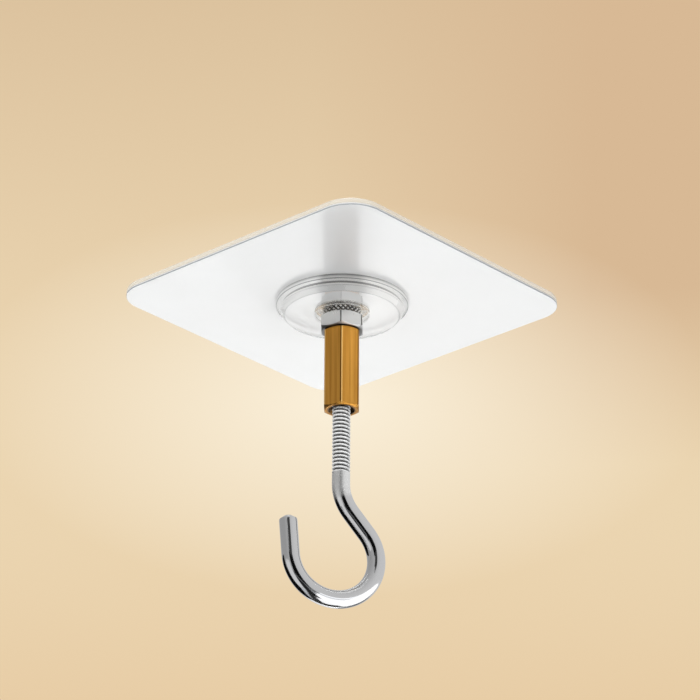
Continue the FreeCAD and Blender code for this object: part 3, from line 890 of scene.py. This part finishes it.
card("behind white", -12, -26, 0.5, 0.24, 0.28, "#FFFFFF", 1.25)


# The backdrop is a plain gradient of three warm beiges behind the hook, as the camera and the glass
# see it, dimmer at the upper right and with a pale pool of light round the hook. What lights the
# hook is a plain neutral sky, and the metal sees that sky in greys, brighter to the right.

# A height in the backdrop is the upward part of the way one looks, and a side its part to the right.
beige_span = (0.30, 0.55)
beige_low = "#E5C79E"
beige_middle = "#EBD5B1"
beige_high = "#D7BC98"
beige_middle_share = 0.36
dim_sides = (-0.01, 0.06)
dim_heights = (0.395, 0.435)
dim_beige = "#D8B995"
pool_sides = (-0.003, 0.09)
pool_heights = (0.410, 0.455)
pool_cream = "#FBF0DA"
neutral = "#FFFFFF"
sky_strength = 0.21
grey_sides = (-0.8, 0.8)
grey_left = 0.45
grey_right = 0.80

world = bpy.data.worlds.new("studio")
bpy.context.scene.world = world
world.use_nodes = True
tree = world.node_tree
tree.nodes.clear()
output = add(tree, "ShaderNodeOutputWorld")
way = add(tree, "ShaderNodeTexCoord").outputs["Generated"]
rise = add(tree, "ShaderNodeSeparateXYZ", {"Vector": way}).outputs["Z"]
to_right = add(tree, "ShaderNodeVectorMath", {0: way, 1: level_right}, operation="DOT_PRODUCT")
rightward = to_right.outputs["Value"]

# A colour ramp starts with a stop at each end, and the middle one is added.
band = add(tree, "ShaderNodeMapRange", {"Value": rise, "From Min": beige_span[0], "From Max": beige_span[1]})
beige = add(tree, "ShaderNodeValToRGB", {"Fac": band.outputs["Result"]})
beige.color_ramp.interpolation = "EASE"
beige.color_ramp.elements[0].color = linear(beige_low)
beige.color_ramp.elements[1].color = linear(beige_high)
beige.color_ramp.elements.new(beige_middle_share).color = linear(beige_middle)
dim_right = add(tree, "ShaderNodeMapRange", {"Value": rightward, "From Min": dim_sides[0],
                                            "From Max": dim_sides[1]})
dim_top = add(tree, "ShaderNodeMapRange", {"Value": rise, "From Min": dim_heights[0],
                                          "From Max": dim_heights[1]})
dimmed = add(tree, "ShaderNodeMath", {0: dim_right.outputs["Result"], 1: dim_top.outputs["Result"]},
             operation="MULTIPLY")
beige_dimmed = add(tree, "ShaderNodeMix", {"Factor": dimmed.outputs[0], "A": beige.outputs[0],
                                          "B": linear(dim_beige)}, data_type="RGBA")

# The pool is a round gradient stretched to an oval, from its middle to its edge on both ranges.
pool_across = add(tree, "ShaderNodeMapRange", {"Value": rightward, "From Min": pool_sides[0],
                                              "From Max": pool_sides[1]}, clamp=False)
pool_up = add(tree, "ShaderNodeMapRange", {"Value": rise, "From Min": pool_heights[0],
                                          "From Max": pool_heights[1]}, clamp=False)
pool_place = add(tree, "ShaderNodeCombineXYZ", {"X": pool_across.outputs["Result"],
                                               "Y": pool_up.outputs["Result"]})
pool = add(tree, "ShaderNodeTexGradient", {"Vector": pool_place.outputs[0]}, gradient_type="SPHERICAL")
beige_lit = add(tree, "ShaderNodeMix", {"Factor": pool.outputs["Fac"], "A": beige_dimmed.outputs["Result"],
                                       "B": linear(pool_cream)}, data_type="RGBA")

greys = add(tree, "ShaderNodeMapRange", {"Value": rightward, "From Min": grey_sides[0],
                                        "From Max": grey_sides[1], "To Min": grey_left,
                                        "To Max": grey_right})
backdrop = add(tree, "ShaderNodeBackground", {"Color": beige_lit.outputs["Result"], "Strength": 1.0})
sky = add(tree, "ShaderNodeBackground", {"Color": linear(neutral), "Strength": sky_strength})
mirrored = add(tree, "ShaderNodeBackground", {"Color": linear(neutral), "Strength": greys.outputs["Result"]})
rays = add(tree, "ShaderNodeLightPath").outputs
seen = add(tree, "ShaderNodeMath", {0: rays["Is Camera Ray"], 1: rays["Is Transmission Ray"]},
           operation="MAXIMUM")
unseen = add(tree, "ShaderNodeMixShader", {"Fac": rays["Is Glossy Ray"], 1: sky.outputs[0],
                                          2: mirrored.outputs[0]})
whole = add(tree, "ShaderNodeMixShader", {"Fac": seen.outputs[0], 1: unseen.outputs[0],
                                         2: backdrop.outputs[0]})
tree.links.new(whole.outputs[0], output.inputs["Surface"])
